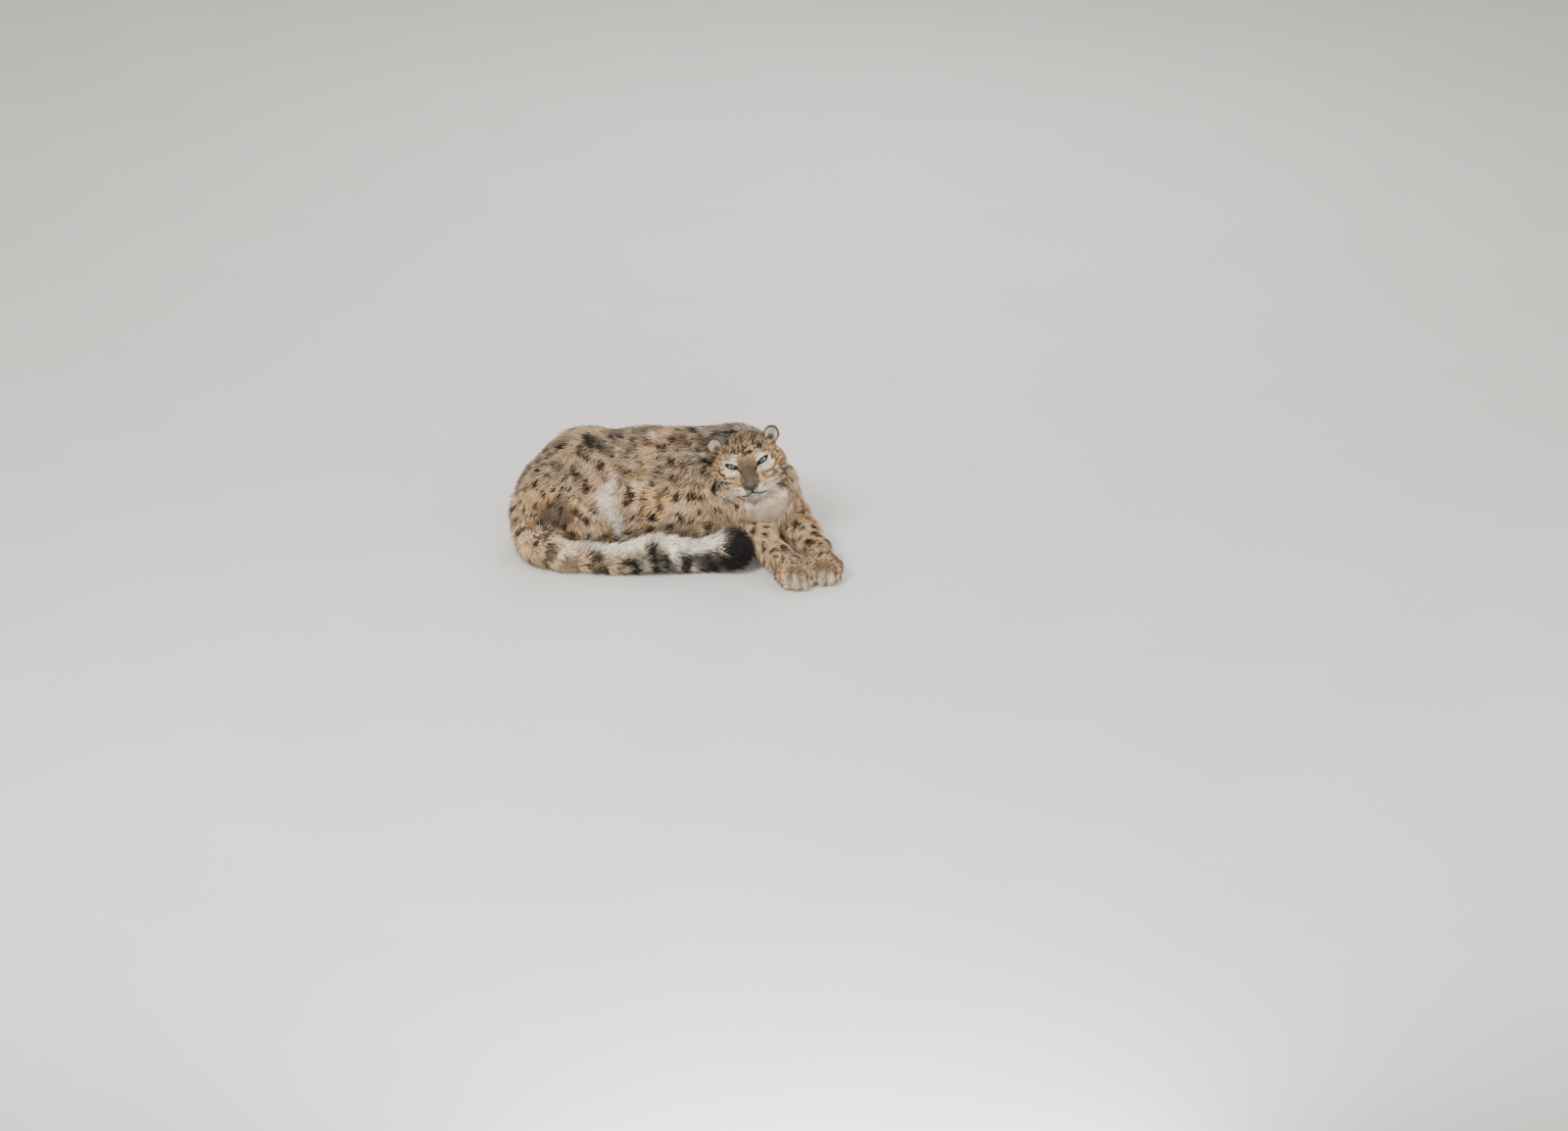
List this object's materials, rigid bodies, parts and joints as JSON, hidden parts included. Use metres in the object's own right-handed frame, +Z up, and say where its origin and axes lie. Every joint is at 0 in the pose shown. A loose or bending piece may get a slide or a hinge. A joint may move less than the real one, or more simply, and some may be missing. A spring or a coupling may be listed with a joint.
{
  "type": "resting snow leopard",
  "caption": "Life-size still snow leopard lying curled with its head raised, forepaws stretched out and long thick tail wrapped along its flank",
  "frame": {"origin": "Middle of the underside of the bounding box, on the floor the animal lies on", "axes": "+Z up; +X from the rump towards the chest and forepaws; the face and forepaws point towards -Y"},
  "size_m": [0.8222, 0.5252, 0.3198],
  "materials": {
    "coat": "matte fur, tan to cream with dark rosettes",
    "tail_coat": "long matte fur, cream with near-black rings",
    "eye": "wet gloss"
  },
  "bodies": {
    "root": {"head": "coat", "ear_right": "coat", "ear_left": "coat", "tail_root": "tail_coat", "tail_rear": "tail_coat", "tail_middle": "tail_coat", "tail_front": "tail_coat", "tail_tip": "tail_coat", "forepaw_right": "coat", "forepaw_left": "coat", "foreleg_right": "coat", "foreleg_left": "coat", "neck": "coat", "hindfoot_right": "coat", "hindfoot_left": "coat", "hindleg_right": "coat", "hindleg_left": "coat", "rump": "coat", "belly": "coat", "chest": "coat", "eye_right": "eye", "eye_left": "eye"}
  },
  "joints": []
}
